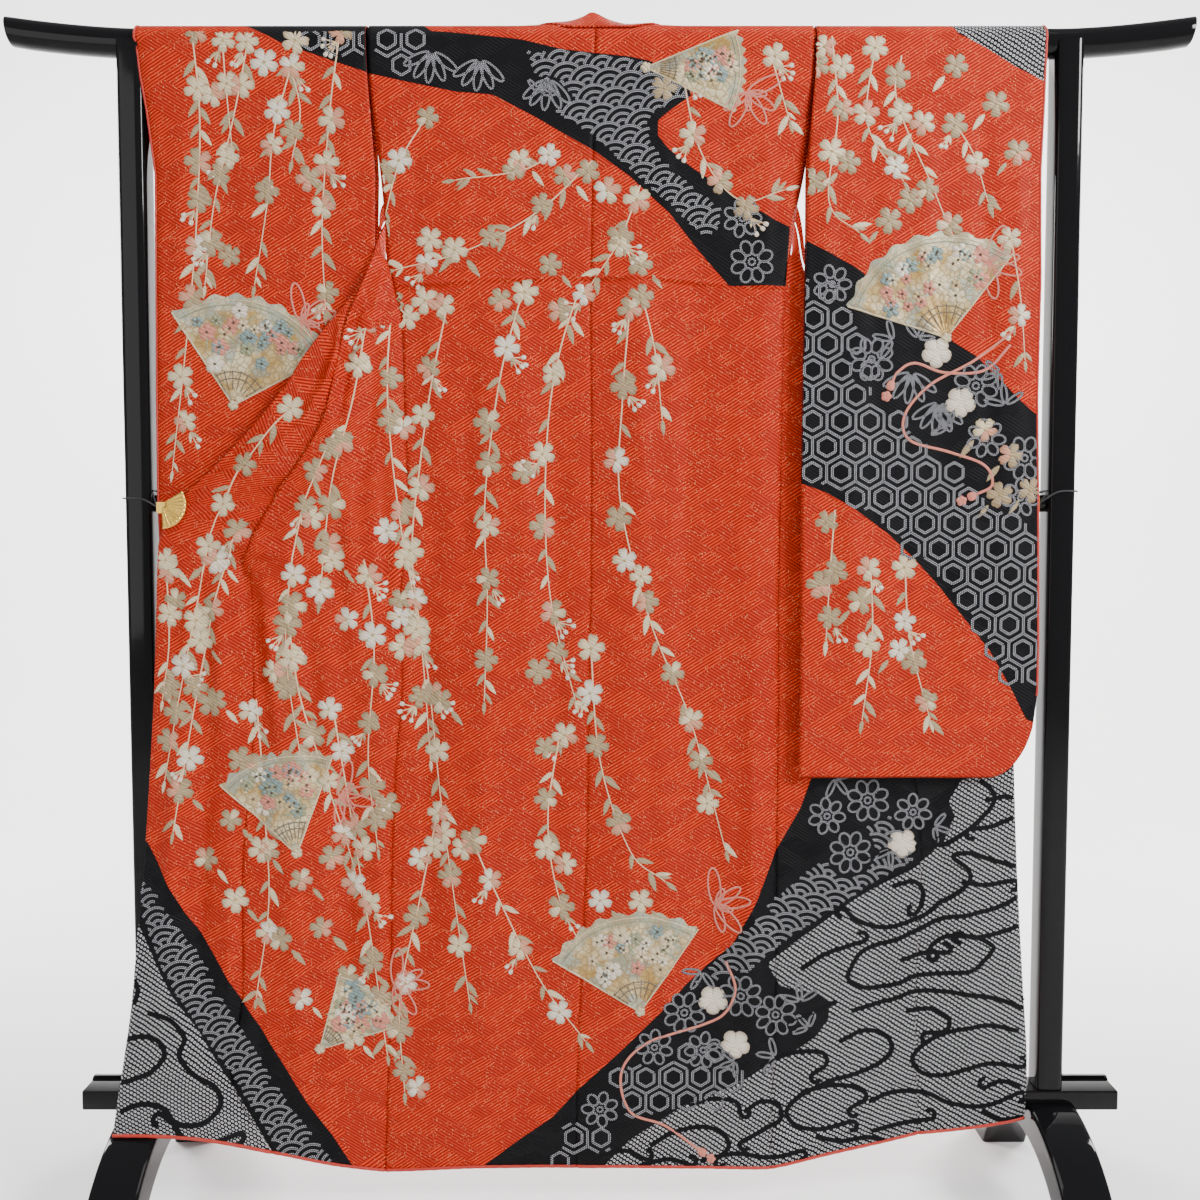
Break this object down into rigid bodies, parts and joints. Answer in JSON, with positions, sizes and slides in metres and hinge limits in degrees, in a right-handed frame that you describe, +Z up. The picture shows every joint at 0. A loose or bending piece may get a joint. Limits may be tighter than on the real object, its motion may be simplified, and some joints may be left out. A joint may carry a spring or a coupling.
{
  "type": "furisode kimono spread on a lacquered kimono stand",
  "caption": "Long-sleeved furisode kimono shown from the back, hung over the beam of an upright lacquered stand, its fronts drawn out to the posts by clips and cords.",
  "frame": {"origin": "on the floor, under the middle of the stand", "axes": "+Z up; the back of the garment faces -Y; +X is on the right of someone who looks at that back"},
  "size_m": [1.695, 0.4644, 1.7496],
  "materials": {
    "lacquer": "gloss black lacquer",
    "silk_crepe": "soft sheen with gold thread",
    "gilt_metal": "polished",
    "tie_cord": "matt"
  },
  "bodies": {
    "root": {"top_beam": "lacquer", "post_left": "lacquer", "post_right": "lacquer", "middle_rail": "lacquer", "base_rail": "lacquer", "foot_left": "lacquer", "foot_right": "lacquer", "back_left": "silk_crepe", "back_right": "silk_crepe", "front_left": "silk_crepe", "front_right": "silk_crepe", "overlap_left": "silk_crepe", "overlap_right": "silk_crepe", "collar": "silk_crepe", "sleeve_left": "silk_crepe", "sleeve_right": "silk_crepe", "fan_left": "gilt_metal", "clip_left": "gilt_metal", "clip_right": "gilt_metal", "tie_left": "tie_cord", "tie_right": "tie_cord"}
  },
  "joints": []
}
